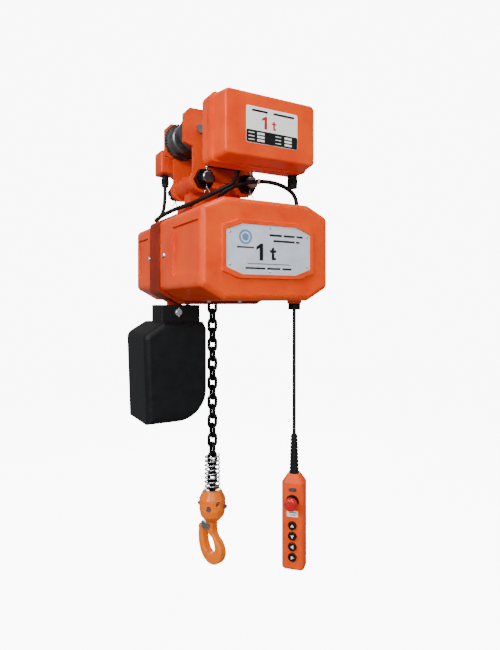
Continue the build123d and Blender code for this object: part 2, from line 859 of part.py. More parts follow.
# --------------------------------------------------------------- chains
def chain_link():
    """One welded link standing upright in the XZ plane."""
    side = (link_width - wire) / 2
    half_straight = (link_pitch + 2 * wire - link_width) / 2
    with BuildPart() as link:
        with BuildLine(Plane.XZ) as loop:
            Line((side, -half_straight), (side, half_straight))
            RadiusArc((side, half_straight), (-side, half_straight), -side)
            Line((-side, half_straight), (-side, -half_straight))
            RadiusArc((-side, -half_straight), (side, -half_straight), -side)
        with BuildSketch(Plane(origin=(side, 0, 0), z_dir=(0, 0, 1))):
            Circle(wire / 2)
        sweep(path=loop.line)
    return link.part


one_link = chain_link()
with BuildPart() as load_chain:
    for number in range(hung_links):
        with Locations((0, 0, chain_top - (number + 0.5) * link_pitch - wire)):
            add(one_link, rotation=(0, 0, 90 * (number % 2)))
save(load_chain, "load_chain")

with BuildPart() as slack_chain:
    for number in range(3):
        angle = 90 + number * link_turn
        x = sheave_x + link_seat_radius * cos(radians(angle))
        z = axle_z + link_seat_radius * sin(radians(angle))
        with Locations(Location((x, 0, z), (0, -angle, 0))):
            add(one_link, rotation=(0, 0, 90 * ((number + 1) % 2)))
    for number in range(slack_links):
        with Locations((slack_x, 0, axle_z - (number + 0.5) * link_pitch)):
            add(one_link, rotation=(0, 0, 90 * (number % 2)))
save(slack_chain, "slack_chain")

# ------------------------------------------------------- chain container
def bag_outline(shrink):
    """Container's body seen from the front, drawn in by shrink."""
    left, right = bag_left + shrink, bag_right - shrink
    top, bottom = bag_neck - shrink, bag_bottom + shrink
    with BuildSketch(Plane.XY) as outline:
        with BuildLine():
            Polyline(
                (neck_left, top),
                (left, top - 24),
                (left + 6, bottom),
                (right, bottom),
                (right, top - 14),
                (neck_right, top),
                close=True,
            )
        make_face()
        low_left, low_right = outline.vertices().sort_by(Axis.Y)[0:2].sort_by(Axis.X)
        fillet(low_right, bag_heel - shrink)
        fillet(low_left, bag_foot - shrink)
        fillet(outline.vertices().sort_by(Axis.X)[0], 18 - shrink)
    return outline.sketch


def bag_solid(shrink, top):
    """Container's body and neck as one solid, drawn in by shrink."""
    neck_deep = frame_rear - frame_front - 2 * shrink
    neck_foot = bag_neck - 2 * bag_round
    with BuildPart() as bag:
        with BuildSketch(facing_front(bag_rear - shrink)):
            add(bag_outline(shrink))
        extrude(amount=bag_rear - bag_front - 2 * shrink)
        for end in (0, -1):
            fillet(bag.faces().sort_by(Axis.Y)[end].edges(), bag_round - shrink)
        with BuildPart(mode=Mode.PRIVATE) as neck:
            with Locations(((neck_left + neck_right) / 2, frame_middle, (top + neck_foot) / 2)):
                Box(neck_right - neck_left - 2 * shrink, neck_deep, top - neck_foot)
            fillet(neck.edges().filter_by(Axis.Z), 6 - shrink)
        add(neck.part)
    return bag.part


neck_top = frame_bottom - 1
with BuildPart() as chain_container:
    add(bag_solid(0, neck_top))
    add(bag_solid(bag_wall, neck_top + 1), mode=Mode.SUBTRACT)
    with Locations((lug_x, 0, lug_z)):
        Cylinder(lug_pin + running_gap, 300, rotation=(90, 0, 0), mode=Mode.SUBTRACT)
save(chain_container, "chain_container")

with BuildPart() as container_pin:
    rod(frame_rear + 6, frame_rear - frame_front + 12, lug_pin, lug_x, lug_z)
    rod(frame_front, 3, lug_pin + 3, lug_x, lug_z)
    with Locations((lug_x, frame_front - 4.5, lug_z)):
        Cylinder(1.1, 20)
save(container_pin, "container_pin")

# ------------------------------------------------- buffer spring, hook block
with BuildPart() as buffer_spring:
    turns_height = spring_top - block_top - 4
    with BuildLine() as coil:
        foot = (0, 0, block_top + 4)
        Helix(pitch=turns_height / 8, height=turns_height, radius=spring_radius, center=foot)
    with BuildSketch(Plane(coil.line @ 0, z_dir=coil.line % 0)):
        Circle(spring_wire / 2)
    sweep(path=coil.line)
    with BuildSketch(Plane.XY.offset(block_top)):
        Circle(spring_radius + 3)
        Circle(link_width / 2 + 1, mode=Mode.SUBTRACT)
    extrude(amount=2.2)
save(buffer_spring, "buffer_spring")

chain_pocket_depth = 36.5
nut_room = 18.0
bolt_radius = 3.0
bolt_head = 5.0
bolt_x = 20.0
bolt_seat = 19.0
chain_pin_z = last_link_z - link_pitch / 2 + bolt_radius + 0.3
block_mid = (block_top + block_bottom) / 2
block_bolt_places = ((-bolt_x, block_mid), (bolt_x, block_mid), (0, chain_pin_z))


def block_half(keep):
    """One half of the hook block: a barrel split across the beam."""
    with BuildPart() as half:
        with BuildSketch(Plane.XZ):
            with BuildLine():
                Polyline(
                    (0, block_bottom),
                    (block_radius - 14, block_bottom),
                    (block_radius - 3, block_bottom + 12),
                    (block_radius, block_bottom + 26),
                    (block_radius, block_top - 18),
                    (block_radius - 9, block_top),
                    (0, block_top),
                    close=True,
                )
            make_face()
        revolve(axis=Axis.Z)
        fillet(half.edges().filter_by(GeomType.CIRCLE).filter_by(lambda e: 14 < e.radius < 30), 2)
        with Locations((0, 0, block_top - chain_pocket_depth / 2 + 0.5)):
            Cylinder(link_width / 2 + 0.8, chain_pocket_depth + 1, mode=Mode.SUBTRACT)
        with Locations((0, 0, block_bottom + 17)):
            Cylinder(shank_radius + 6.5, nut_room, mode=Mode.SUBTRACT)
        with Locations((0, 0, block_bottom)):
            Cylinder(shank_radius + loose_gap, 40, mode=Mode.SUBTRACT)
        for x, z in block_bolt_places:
            with Locations((x, 0, z)):
                Cylinder(bolt_radius, 4 * block_radius, rotation=(90, 0, 0), mode=Mode.SUBTRACT)
            with Locations((x, -bolt_seat - block_radius, z), (x, bolt_seat + block_radius, z)):
                Cylinder(bolt_head + 0.5, 2 * block_radius, rotation=(90, 0, 0), mode=Mode.SUBTRACT)
        split(bisect_by=Plane.XZ, keep=keep)
    return half


save(block_half(Keep.TOP), "hook_block_front")
save(block_half(Keep.BOTTOM), "hook_block_rear")

with BuildPart() as block_bolts:
    for x, z in block_bolt_places:
        rod(bolt_seat, 2 * bolt_seat, bolt_radius, x, z)
        for y_back in (-bolt_seat, bolt_seat + 6):
            with BuildSketch(facing_front(y_back, x, z)) as head:
                RegularPolygon(bolt_head, 6)
            extrude(head.sketch, amount=6)
save(block_bolts, "block_bolts")

# ------------------------------------------------------------ hook and latch
hook_plane = Plane(
    origin=(0, 0, 0),
    x_dir=(cos(radians(hook_yaw)), sin(radians(hook_yaw)), 0),
    z_dir=(sin(radians(hook_yaw)), -cos(radians(hook_yaw)), 0),
)
bowl_z = hook_bottom + 22 + hook_bowl
hook_neck = block_bottom - 18
hook_tip = hook_bottom + 73
flat_half = shank_radius - 1
latch_pin_radius = 2.5
latch_x = 4
latch_z = block_bottom - 13
with BuildPart() as hook:
    with BuildSketch(hook_plane.offset(-hook_thick / 2)):
        with BuildLine():
            Line((-flat_half, block_bottom), (-flat_half, hook_neck))
            Spline(
                (-flat_half, hook_neck),
                (-24, hook_bottom + 57),
                (-37, hook_bottom + 33),
                (-26, hook_bottom + 9),
                (0, hook_bottom),
                (25, hook_bottom + 11),
                (38, hook_bottom + 37),
                (39, hook_tip),
                tangents=((0, -1), (0, 1)),
            )
            TangentArc((39, hook_tip), (25, hook_tip), tangent=(0, 1))
            Spline(
                (25, hook_tip),
                (22, hook_bottom + 51),
                (12, bowl_z - 12),
                (0, bowl_z - hook_bowl),
                (-12, bowl_z - 11),
                (-15, bowl_z + 4),
                (-4, hook_bottom + 61),
                (flat_half, hook_neck),
                tangents=((0, -1), (0, 1)),
            )
            Line((flat_half, hook_neck), (flat_half, block_bottom))
            Line((flat_half, block_bottom), (-flat_half, block_bottom))
        make_face()
    extrude(amount=hook_thick)
    rims = hook.faces().filter_by(hook_plane).edges()
    fillet(rims.filter_by(lambda edge: edge.center().Z < block_bottom - 1), 4)
    with Locations((0, 0, block_bottom + 8)):
        Cylinder(shank_radius - 1.2, 36)
    with BuildSketch(hook_plane.offset(-hook_thick)):
        with Locations((latch_x, latch_z)):
            Circle(latch_pin_radius)
    extrude(amount=2 * hook_thick, mode=Mode.SUBTRACT)
save(hook, "hook")

with BuildPart() as hook_nut:
    with Locations((0, 0, block_bottom + 17)):
        Cylinder(shank_radius + 6, 17)
    with Locations((0, 0, block_bottom + 17)):
        Cylinder(shank_radius - 1.2, 40, mode=Mode.SUBTRACT)
save(hook_nut, "hook_nut")

with BuildPart() as latch_pin:
    with BuildSketch(hook_plane.offset(-hook_thick / 2 - 4)):
        with Locations((latch_x, latch_z)):
            Circle(latch_pin_radius)
    extrude(amount=hook_thick + 8)
save(latch_pin, "latch_pin")


def latch_outline(corners):
    """Closed outline given by corners measured from the latch's pin."""
    Polyline(*[(latch_x + x, latch_z + z) for x, z in corners], close=True)


cheek_corners = ((-7, 6), (18, 9), (21, 5), (20.4, -7), (16, -7), (-4, -6))
tongue_corners = ((11, 8), (18, 9), (21, 5), (20.4, -7), (17, -7), (16, 3), (11, 3))
with BuildPart() as hook_latch:
    for side in (-1, 1):
        near = side * (hook_thick / 2 + loose_gap)
        with BuildSketch(hook_plane.offset(near)):
            with BuildLine():
                latch_outline(cheek_corners)
            make_face()
            with Locations((latch_x, latch_z)):
                Circle(latch_pin_radius + running_gap, mode=Mode.SUBTRACT)
        extrude(amount=2 * side)
    with BuildSketch(hook_plane.offset(-hook_thick / 2 - loose_gap)):
        with BuildLine():
            latch_outline(tongue_corners)
        make_face()
    extrude(amount=hook_thick + 2 * loose_gap)
save(hook_latch, "hook_latch")

# ------------------------------------------------------------------- pendant
pendant_plane = Plane(
    origin=(pendant_x, pendant_y, 0),
    x_dir=(cos(radians(pendant_yaw)), sin(radians(pendant_yaw)), 0),
    z_dir=(0, 0, 1),
)
pendant_front = Plane(
    origin=(pendant_x, pendant_y, 0),
    x_dir=pendant_plane.x_dir,
    z_dir=-pendant_plane.y_dir,
)

with BuildPart() as pendant_cable:
    with BuildSketch(Plane.XY.offset(sleeve_top + 2)):
        with Locations((pendant_x, pendant_y)):
            Circle(cable_radius)
    extrude(amount=boss_bottom - sleeve_top - 2)
save(pendant_cable, "pendant_cable")

sleeve_ribs = 11
with BuildPart() as cable_sleeve:
    with BuildSketch(Plane.XY.offset(pendant_top)):
        with Locations((pendant_x, pendant_y)):
            Circle(8)
    with BuildSketch(Plane.XY.offset(sleeve_top + 2)):
        with Locations((pendant_x, pendant_y)):
            Circle(5.5)
    loft()
    for rib in range(sleeve_ribs):
        share = rib / (sleeve_ribs - 1)
        radius = 9.5 - 2.5 * share
        level = pendant_top + 2 + share * (sleeve_top - pendant_top - 5)
        with Locations((pendant_x, pendant_y, level)):
            Cylinder(radius, 3.6)
save(cable_sleeve, "cable_sleeve")


def pendant_solid(shrink):
    """Whole pendant body: a rounded box narrowing at the shoulders and foot."""
    width = pendant_width - 2 * shrink
    depth = pendant_depth - 2 * shrink
    top = pendant_top - shrink
    bottom = pendant_bottom + shrink
    with BuildPart() as body:
        with BuildSketch(pendant_plane.offset(bottom)):
            RectangleRounded(width, depth, 9)
        extrude(amount=top - 16 - bottom)
        fillet(body.faces().sort_by(Axis.Z)[0].edges(), 6)
        with BuildSketch(pendant_plane.offset(top - 16)):
            RectangleRounded(width, depth, 9)
        with BuildSketch(pendant_plane.offset(top)):
            RectangleRounded(24 - 2 * shrink, 24 - 2 * shrink, 7)
        loft()
    return body.part


button_levels = [first_button_z - number * button_pitch for number in range(4)]
with BuildPart() as pendant_front_shell:
    add(pendant_solid(0))
    add(pendant_solid(pendant_wall), mode=Mode.SUBTRACT)
    with BuildSketch(pendant_front):
        for level in button_levels:
            with Locations((0, level)):
                Circle(button_radius + 1.8)
    extrude(amount=pendant_depth / 2 + 1.6)
    with BuildSketch(pendant_front):
        for level in button_levels:
            with Locations((0, level)):
                Circle(button_radius + loose_gap)
        with Locations((0, stop_z)):
            Circle(6 + loose_gap)
    extrude(amount=pendant_depth, mode=Mode.SUBTRACT)
    split(bisect_by=pendant_front, keep=Keep.TOP)
save(pendant_front_shell, "pendant_front_shell")

with BuildPart() as pendant_rear_shell:
    add(pendant_solid(0))
    add(pendant_solid(pendant_wall), mode=Mode.SUBTRACT)
    split(bisect_by=pendant_front, keep=Keep.BOTTOM)
save(pendant_rear_shell, "pendant_rear_shell")

with BuildPart() as contact_block:
    with BuildSketch(pendant_front.offset(-10)):
        with Locations((0, (button_levels[0] + button_levels[-1]) / 2 + 8)):
            Rectangle(30, 118)
    extrude(amount=10)
save(contact_block, "contact_block")

button_names = ("up_button", "down_button", "left_button", "right_button")
button_stand = 4.2
for name, level in zip(button_names, button_levels):
    with BuildPart() as button:
        with BuildSketch(pendant_front.offset(6)):
            with Locations((0, level)):
                Circle(button_radius)
        extrude(amount=pendant_depth / 2 - 6 + button_stand)
        fillet(button.edges().group_by(lambda e: -e.center().dot(pendant_plane.y_dir))[-1], 1.2)
    save(button, name)

with BuildPart() as stop_button:
    with BuildSketch(pendant_front.offset(6)):
        with Locations((0, stop_z)):
            Circle(6)
    extrude(amount=pendant_depth / 2)
    with BuildSketch(pendant_front.offset(pendant_depth / 2 + 6)):
        with Locations((0, stop_z)):
            Circle(8)
    with BuildSketch(pendant_front.offset(pendant_depth / 2 + 14)):
        with Locations((0, stop_z)):
            Circle(12.5)
    loft()
    with BuildSketch(pendant_front.offset(pendant_depth / 2 + 14)):
        with Locations((0, stop_z)):
            Circle(12.5)
    extrude(amount=9)
    fillet(stop_button.faces().sort_by(lambda f: -f.center().dot(pendant_plane.y_dir))[-1].edges(), 5)
save(stop_button, "stop_button")

# ------------------------------------------------- glands and loose cables
arm_sheet_low = arm_low + sheet_above_low - bracket_sheet / 2
gland_places = (
    (term_x, term_y, term_bottom, 8.0, 26.0, loose_cable_radius),
    (gland_x, gland_y, box_bottom - box_lip_step, 9.5, 24.0, 0.0),
    (-12.0, -146.0, arm_sheet_low, 8.0, 14.0, loose_cable_radius),
    (*hoist_gland, case_top + 14, 8.0, 14.0, loose_cable_radius),
    (*slope_gland, case_top + 2, gland_radius, 22.0, loose_cable_radius),
)
with BuildPart() as cable_glands:
    for x, y, top, radius, length, bore in gland_places:
        with BuildSketch(Plane.XY.offset(top - length)):
            with Locations((x, y)):
                Circle(radius)
                if bore:
                    Circle(bore, mode=Mode.SUBTRACT)
        extrude(amount=length)
    for x, y, top, radius, length, bore in gland_places[:3]:
        with BuildSketch(Plane.XY.offset(top - 0.75 * length)):
            with Locations((x, y)):
                RegularPolygon(radius + 1.6, 6)
                Circle(radius - 0.5, mode=Mode.SUBTRACT)
        extrude(amount=0.4 * length)
    with BuildSketch(Plane.XY.offset(boss_bottom - 12)):
        with Locations((pendant_x, pendant_y)):
            Circle(12)
            Circle(9, mode=Mode.SUBTRACT)
    extrude(amount=12)
save(cable_glands, "cable_glands")

motor_cable_points = [
    (term_x, term_y, -44),
    (term_x, term_y, -84),
    (-76, 106, -120),
    (-98, 84, -140),
    (-114, 50, -147),
    (-109, 12, -139),
    (-93, -22, -130),
    (-74, -56, -124),
    (-58, -90, -115),
    (-38, -122, -103),
    (-12, -146, -88),
    (-12, -146, arm_sheet_low - 10),
]
with BuildPart() as motor_cable:
    with BuildLine() as route:
        cord_path(motor_cable_points)
    with BuildSketch(Plane(route.line @ 0, z_dir=route.line % 0)):
        Circle(loose_cable_radius)
    sweep(path=route.line)
save(motor_cable, "motor_cable")

control_cable_points = [
    (*hoist_gland, case_top + 8),
    (-34, -96, case_top + 28),
    (-16, -116, -96),
    (14, -138, -86),
    (52, -154, -84),
    (88, -164, -94),
    (112, -166, -114),
    (*slope_gland, case_top - 4),
]
with BuildPart() as control_cable:
    with BuildLine() as route:
        cord_path(control_cable_points)
    with BuildSketch(Plane(route.line @ 0, z_dir=route.line % 0)):
        Circle(loose_cable_radius)
    sweep(path=route.line)
save(control_cable, "control_cable")
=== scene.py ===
# %% [markdown]
# # An electric chain hoist on its beam trolley
# The machine's frame, its moving bodies and its true sizes come ready made.
# This lesson adds what the eye reads: paint, plating, rubber and print,
# the loose cables and the small trim.
# Everything is in metres, in the frame's own axes, so a new piece is placed
# from the box of the node that it belongs to.

# %% Load the frame
from math import cos, radians, sin

import bmesh
import bpy
from mathutils import Matrix, Vector


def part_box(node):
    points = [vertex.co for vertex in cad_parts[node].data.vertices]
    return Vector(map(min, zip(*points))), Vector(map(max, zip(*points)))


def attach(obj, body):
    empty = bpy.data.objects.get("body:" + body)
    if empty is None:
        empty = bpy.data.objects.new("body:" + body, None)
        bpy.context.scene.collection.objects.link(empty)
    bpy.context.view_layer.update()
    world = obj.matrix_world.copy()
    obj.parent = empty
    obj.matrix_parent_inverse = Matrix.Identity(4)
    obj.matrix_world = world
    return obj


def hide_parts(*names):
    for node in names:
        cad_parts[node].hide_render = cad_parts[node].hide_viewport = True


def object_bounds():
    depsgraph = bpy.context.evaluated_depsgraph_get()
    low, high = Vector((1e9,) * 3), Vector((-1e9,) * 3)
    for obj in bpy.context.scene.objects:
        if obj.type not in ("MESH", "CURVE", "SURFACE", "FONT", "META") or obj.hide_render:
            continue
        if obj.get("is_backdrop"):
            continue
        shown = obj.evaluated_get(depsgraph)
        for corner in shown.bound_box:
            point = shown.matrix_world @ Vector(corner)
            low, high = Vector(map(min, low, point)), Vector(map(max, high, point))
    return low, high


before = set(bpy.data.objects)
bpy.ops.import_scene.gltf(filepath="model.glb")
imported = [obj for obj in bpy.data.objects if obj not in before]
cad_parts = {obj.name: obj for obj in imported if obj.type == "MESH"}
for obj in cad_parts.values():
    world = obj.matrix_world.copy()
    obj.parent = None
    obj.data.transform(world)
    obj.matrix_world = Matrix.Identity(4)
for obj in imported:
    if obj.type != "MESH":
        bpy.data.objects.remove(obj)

cad_low, cad_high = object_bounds()
MM = 0.001
print("machine size in metres", [round(v, 3) for v in cad_high - cad_low])

# %% [markdown]
# ## Camera
# The eye stands level with the middle of the casing, to the left of the
# front, close enough for the beam side to run away to the right.  A level
# camera keeps the hanging chain upright in the picture, and a small shift
# frames the whole hoist without tilting.

# %% Place the camera
EYE = Vector((-0.474, -1.013, -0.326))
LOOK = Vector((0.490, 0.872, 0.0)).normalized()
camera_data = bpy.data.cameras.new("studio_camera")
camera_data.sensor_width = 36.0
camera_data.lens = 28.0
camera_data.shift_y = -0.034
camera = bpy.data.objects.new("studio_camera", camera_data)
camera.location = EYE
camera.rotation_euler = LOOK.to_track_quat("-Z", "Y").to_euler()
bpy.context.scene.collection.objects.link(camera)
bpy.context.scene.camera = camera

# %% [markdown]
# ## Helpers for a piece
# Each new piece is a mesh object that stays at the origin with its place in
# its vertices.  One helper turns a finished bmesh into such an object and
# says which body carries it and which finish it wears.


# %% A mesh becomes a piece
def make_piece(name, mesh, body, material, smooth=True):
    """Turn a bmesh into an object that rides on a body."""
    bmesh.ops.recalc_face_normals(mesh, faces=mesh.faces)
    data = bpy.data.meshes.new(name)
    mesh.to_mesh(data)
    mesh.free()
    data.shade_smooth() if smooth else data.shade_flat()
    if smooth:
        data.set_sharp_from_angle(angle=radians(35))
    data.materials.append(material)
    piece = bpy.data.objects.new(name, data)
    bpy.context.scene.collection.objects.link(piece)
    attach(piece, body)
    return piece


# %% [markdown]
# ## Helpers for a finish
# A colour is written as the hex value that a paint chart gives, and one
# function turns it to the linear light that the shader needs.  A second one
# adds a node, sets its values and plugs in its links.


# %% Colour and node helpers
def linear(hex_colour):
    """sRGB hex, such as #F26A1B, to a linear colour with alpha."""
    channels = [int(hex_colour[i : i + 2], 16) / 255 for i in (1, 3, 5)]
    lit = [c / 12.92 if c <= 0.04045 else ((c + 0.055) / 1.055) ** 2.4 for c in channels]
    return (*lit, 1.0)


def add_node(tree, kind, links=None, props=None, **values):
    """Add one node: props set its options, values its inputs, links its sockets."""
    made = tree.nodes.new(kind)
    for key, value in (props or {}).items():
        setattr(made, key, value)
    for key, value in values.items():
        made.inputs[key.replace("_", " ")].default_value = value
    for key, source in (links or {}).items():
        tree.links.new(source, made.inputs[key])
    return made


def per_metre(size_mm):
    """Noise scale whose blotches are about size_mm across."""
    return 1.0 / (size_mm * MM)


def start_material(name, **shader_values):
    """A fresh material with its shader, and the object's own coordinates."""
    material = bpy.data.materials.new(name)
    material.use_nodes = True
    tree = material.node_tree
    shader = tree.nodes["Principled BSDF"]
    for key, value in shader_values.items():
        shader.inputs[key.replace("_", " ")].default_value = value
    place = add_node(tree, "ShaderNodeTexCoord").outputs["Object"]
    return material, tree, shader, place


def vary_colour(tree, shader, place, colours, size_mm, detail=4.0):
    """Let the base colour drift between the given hex colours."""
    noise = add_node(
        tree, "ShaderNodeTexNoise", {"Vector": place}, Scale=per_metre(size_mm), Detail=detail, Roughness=0.6
    )
    ramp = add_node(tree, "ShaderNodeValToRGB", {"Fac": noise.outputs["Fac"]})
    ramp.color_ramp.elements[0].position = 0.36
    ramp.color_ramp.elements[1].position = 0.66
    ramp.color_ramp.elements[0].color = linear(colours[0])
    ramp.color_ramp.elements[1].color = linear(colours[-1])
    for middle in colours[1:-1]:
        step = ramp.color_ramp.elements.new(0.5)
        step.color = linear(middle)
    tree.links.new(ramp.outputs["Color"], shader.inputs["Base Color"])
    return noise


def vary_roughness(tree, shader, source, low, high):
    """Spread roughness between two values by a noise that is there already."""
    spread = add_node(
        tree,
        "ShaderNodeMapRange",
        {"Value": source.outputs["Fac"]},
        From_Min=0.3,
        From_Max=0.7,
        To_Min=low,
        To_Max=high,
    )
    tree.links.new(spread.outputs["Result"], shader.inputs["Roughness"])


def ripple(tree, shader, place, size_mm, depth_mm, strength=1.0, stretch=(1, 1, 1)):
    """Bump the surface by a noise of a real size and depth."""
    turned = add_node(tree, "ShaderNodeMapping", {"Vector": place}, Scale=stretch)
    noise = add_node(
        tree, "ShaderNodeTexNoise", {"Vector": turned.outputs["Vector"]}, Scale=per_metre(size_mm), Detail=3.0
    )
    bump = add_node(
        tree, "ShaderNodeBump", {"Height": noise.outputs["Fac"]}, Strength=strength, Distance=depth_mm * MM
    )
    tree.links.new(bump.outputs["Normal"], shader.inputs["Normal"])
    return noise


# %% [markdown]
# ## Enamel paint
# The casings are sprayed with a gloss enamel and stoved.  Wet paint pulls
# into a faint skin like an orange's, a few millimetres across, and the
# castings under it are a little uneven, so the colour and the gloss drift.
# A clear coat over a rougher base gives that: sharp highlights with a soft
# body.  The waves are drawn about twice their real depth so that they show.


# %% Enamel
def stoved_enamel(name, colours, rough, coat, wave_mm=7.0, wave_depth=0.10):
    """Sprayed and stoved gloss paint on sheet steel or a casting."""
    gloss = {"IOR": 1.5, "Specular_IOR_Level": 0.2, "Coat_Weight": coat, "Coat_Roughness": 0.14}
    material, tree, shader, place = start_material(name, **gloss)
    tone = vary_colour(tree, shader, place, colours, 60.0)
    vary_roughness(tree, shader, tone, rough - 0.05, rough + 0.08)
    ripple(tree, shader, place, wave_mm, wave_depth)
    return material


orange_enamel = stoved_enamel("orange_stoved_enamel", ("#E03C00", "#E84600", "#EE4E00"), 0.42, 0.10)
# The trolley parts get a darker copy of the orange enamel: painted shade for the shade they sit in under the
# control box.
shaded_orange_tones = ("#CE3600", "#DA4000", "#E24800")
orange_painted_shade = stoved_enamel("orange_enamel_painted_shade", shaded_orange_tones, 0.46, 0.08, 4.0, 0.16)
casting_red = ("#7A1800", "#8C2200", "#982A00")
red_enamel = stoved_enamel("dark_red_casting_enamel", casting_red, 0.54, 0.02, 3.0, 0.2)
hook_orange = ("#F06400", "#F87400", "#FA7E00")
hook_enamel = stoved_enamel("hook_yellow_orange_enamel", hook_orange, 0.40, 0.14, 5.0, 0.18)


# %% [markdown]
# ## Bare, plated and blackened steel
# Shafts and gears are turned, so fine rings cross the highlight.  The chain
# is case hardened and blackened, which leaves a dark skin with a dull
# shine.  The buffer spring, pins and screws are bright zinc or chrome.


# %% Metals
def worked_steel(name, colours, rough, grain_mm, depth_mm, stretch=(1, 1, 1)):
    """A metal surface with the marks of how it was made."""
    material, tree, shader, place = start_material(name, Metallic=1.0)
    tone = vary_colour(tree, shader, place, colours, 18.0)
    vary_roughness(tree, shader, tone, rough - 0.06, rough + 0.1)
    ripple(tree, shader, place, grain_mm, depth_mm, 0.6, stretch)
    return material


turned_steel = worked_steel("turned_steel", ("#8E8F92", "#A6A7AA"), 0.30, 1.2, 0.02, (1, 6, 1))
bright_zinc = worked_steel("bright_zinc_plate", ("#C2C4C8", "#DADCE0"), 0.20, 2.0, 0.01)
spring_chrome = worked_steel("polished_chrome_plate", ("#A8AAAE", "#C4C6CA"), 0.16, 4.0, 0.01)
black_chain = worked_steel("blackened_chain_steel", ("#19191B", "#2B2B2E"), 0.34, 1.6, 0.04)
black_oxide = worked_steel("black_oxide_steel", ("#1B1B1C", "#303032"), 0.42, 1.4, 0.03)
cast_wheel = worked_steel("machined_cast_iron", ("#5B5B5D", "#737375"), 0.40, 0.9, 0.03, (1, 5, 1))

# %% [markdown]
# ## Plastics and rubber
# The container and glands are moulded nylon with a spark-eroded grain, the
# pendant is satin ABS, its buttons are glossier, and the cables have a
# soft rubber sheath that is slightly dusty.


# %% Plastics and rubber
def moulded(name, colours, rough, grain_mm, depth_mm, coat=0.0):
    """Moulded plastic or rubber: grain in the tool, slightly uneven gloss."""
    gloss = {"IOR": 1.5, "Specular_IOR_Level": 0.2, "Coat_Weight": coat, "Coat_Roughness": 0.15}
    material, tree, shader, place = start_material(name, **gloss)
    tone = vary_colour(tree, shader, place, colours, 25.0)
    vary_roughness(tree, shader, tone, rough - 0.04, rough + 0.07)
    ripple(tree, shader, place, grain_mm, depth_mm)
    return material


black_nylon = moulded("black_moulded_nylon", ("#08090B", "#0F1114"), 0.55, 1.1, 0.04)
black_sheath = moulded("black_rubber_sheath", ("#0E0F10", "#191A1B"), 0.48, 1.5, 0.02)
pendant_abs = moulded("orange_satin_abs", ("#E24400", "#EC5000"), 0.44, 0.9, 0.02, 0.06)
button_gloss = moulded("black_gloss_abs", ("#0A0A0B", "#141415"), 0.20, 3.0, 0.01, 0.4)
stop_red = moulded("red_gloss_abs", ("#A80F12", "#C4181A"), 0.25, 3.0, 0.01, 0.5)
white_nylon = moulded("white_nylon_tie", ("#D8D8D2", "#E8E8E4"), 0.4, 1.0, 0.02)

# %% [markdown]
# ## Nameplate and print
# The plate is aluminium sheet, satin anodised, with fine level brushing.
# Labels are screen-printed vinyl.  Each ink is its own thin material so
# that the print keeps its colour when the model leaves Blender.

# %% Plate and inks
plate_tones = ("#D2DCEA", "#E0E8F2")
plate_metal = worked_steel("satin_anodised_aluminium", plate_tones, 0.36, 0.8, 0.01, (0.05, 1, 1))
plate_shader = plate_metal.node_tree.nodes["Principled BSDF"]
plate_shader.inputs["Metallic"].default_value = 0.25
ink_white = moulded("white_vinyl", ("#ECECEA", "#F6F6F4"), 0.34, 4.0, 0.005, 0.3)
ink_black = moulded("black_ink", ("#0C0C0E", "#151517"), 0.34, 4.0, 0.005, 0.3)
ink_red = moulded("red_ink", ("#B8161C", "#C81E22"), 0.34, 4.0, 0.005, 0.3)
ink_blue = moulded("blue_grey_ink", ("#5F80AC", "#6F8FB8"), 0.36, 4.0, 0.005, 0.2)
ink_grey = moulded("dark_grey_ink", ("#3A3D42", "#4A4D52"), 0.4, 4.0, 0.005, 0.2)

# %% [markdown]
# ## Finishes on the ready-made nodes
# Each node keeps its shape and only changes its finish.

# %% Assign the finishes
finishes = {
    orange_enamel: ["front_cover", "rear_cover", "control_box_cover", "control_box_base"],
    # The darker orange on the trolley parts is painted shade.
    orange_painted_shade: [
        "front_side_plate",
        "rear_side_plate",
        "spacer_collars",
        "hanger",
        "trolley_gearcase",
        "trolley_motor",
        "motor_terminal_box",
    ],
    red_enamel: ["hoist_frame"],
    hook_enamel: ["hook", "hook_block_front", "hook_block_rear"],
    turned_steel: [
        "suspension_shafts",
        "wheel_axles",
        "ball_bearings",
        "load_sheave",
        "output_gear",
        "intermediate_gear",
        "motor_rotor",
        "motor_stator",
        "drive_pinion",
        "latch_pin",
        "block_bolts",
        "hook_latch",
    ],
    cast_wheel: ["front_wheel_left", "front_wheel_right", "geared_wheel_left", "geared_wheel_right"],
    spring_chrome: ["buffer_spring"],
    bright_zinc: ["split_pins", "cover_screws", "nameplate_rivets", "container_pin"],
    black_chain: ["load_chain", "slack_chain"],
    black_oxide: [
        "castle_nuts",
        "frame_bolts",
        "hook_nut",
        "chain_guide",
        "control_box_bracket",
    ],
    plate_metal: ["nameplate"],
    black_nylon: ["chain_container", "cable_glands", "contactors", "brake_coil", "contact_block"],
    black_sheath: ["pendant_cable", "motor_cable", "control_cable", "cable_sleeve"],
    pendant_abs: ["pendant_front_shell", "pendant_rear_shell"],
    button_gloss: ["up_button", "down_button", "left_button", "right_button"],
    stop_red: ["stop_button"],
}
for finish, members in finishes.items():
    for member in members:
        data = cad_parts[member].data
        data.materials.clear()
        data.materials.append(finish)
painted = sum(len(members) for members in finishes.values())
print("nodes with a finish", painted, "of", len(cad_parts))
